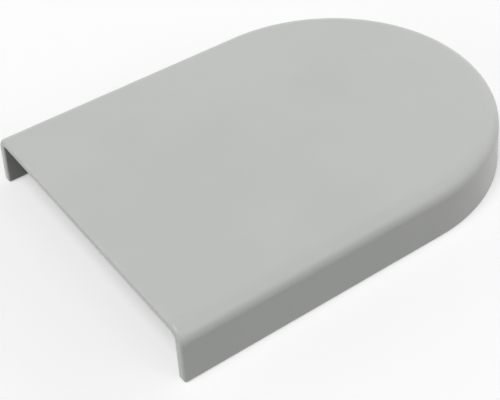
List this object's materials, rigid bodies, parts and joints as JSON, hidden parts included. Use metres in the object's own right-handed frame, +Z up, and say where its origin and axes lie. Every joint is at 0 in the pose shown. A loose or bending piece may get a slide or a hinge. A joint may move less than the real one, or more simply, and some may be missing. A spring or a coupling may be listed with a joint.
{
  "type": "tube end cap",
  "caption": "D-shaped end cap in one moulded piece: a flat plate with a skirt down both sides and round its rounded end, open at the square end and underneath.",
  "frame": {"origin": "middle of the cap's length and width, on the plane of the rim that it stands on", "axes": "+X from the open square end to the round end, +Y across the cap, +Z up from the rim to the plate"},
  "size_m": [0.0798, 0.06, 0.0098],
  "materials": {
    "moulding": "satin moulded light grey"
  },
  "bodies": {
    "root": {"end_cap": "moulding"}
  },
  "joints": []
}
